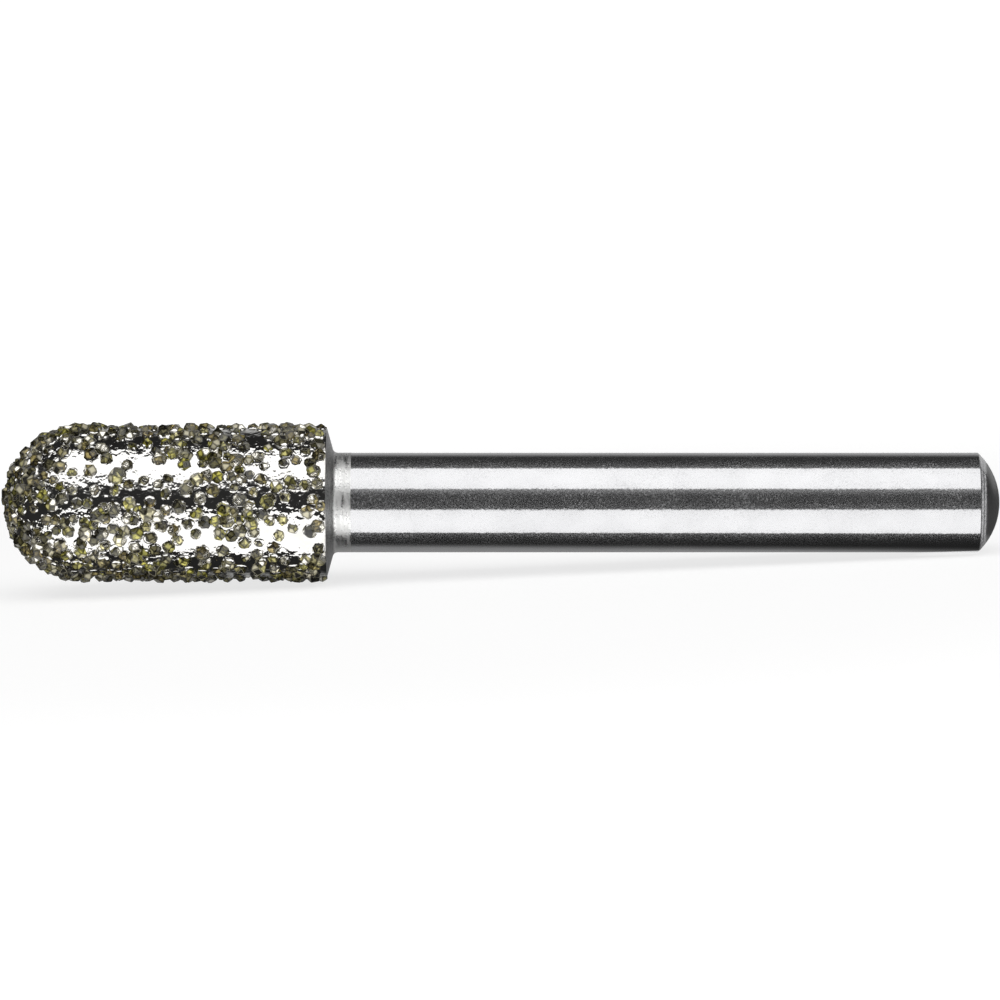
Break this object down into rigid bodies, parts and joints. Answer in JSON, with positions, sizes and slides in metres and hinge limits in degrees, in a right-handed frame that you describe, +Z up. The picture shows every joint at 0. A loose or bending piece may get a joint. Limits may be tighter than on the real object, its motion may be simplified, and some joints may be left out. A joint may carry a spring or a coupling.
{
  "type": "diamond burr",
  "caption": "Ball-nosed cylindrical burr: a turned steel blank whose head is plated with nickel that holds coarse diamond crystals.",
  "frame": {"origin": "on the tool's axis at the edge of the plating, where the bare ground shank begins", "axes": "+X along the shank towards its free end, the head lies towards -X, +Z up"},
  "size_m": [0.0601, 0.0098, 0.0098],
  "materials": {
    "ground_steel": "ground, satin to bright",
    "nickel_bond": "bright nickel between the crystals",
    "diamond_grit": "glassy yellow-green to grey crystals"
  },
  "bodies": {
    "root": {"steel_blank": "ground_steel", "diamond_coat": "nickel_bond"}
  },
  "joints": []
}
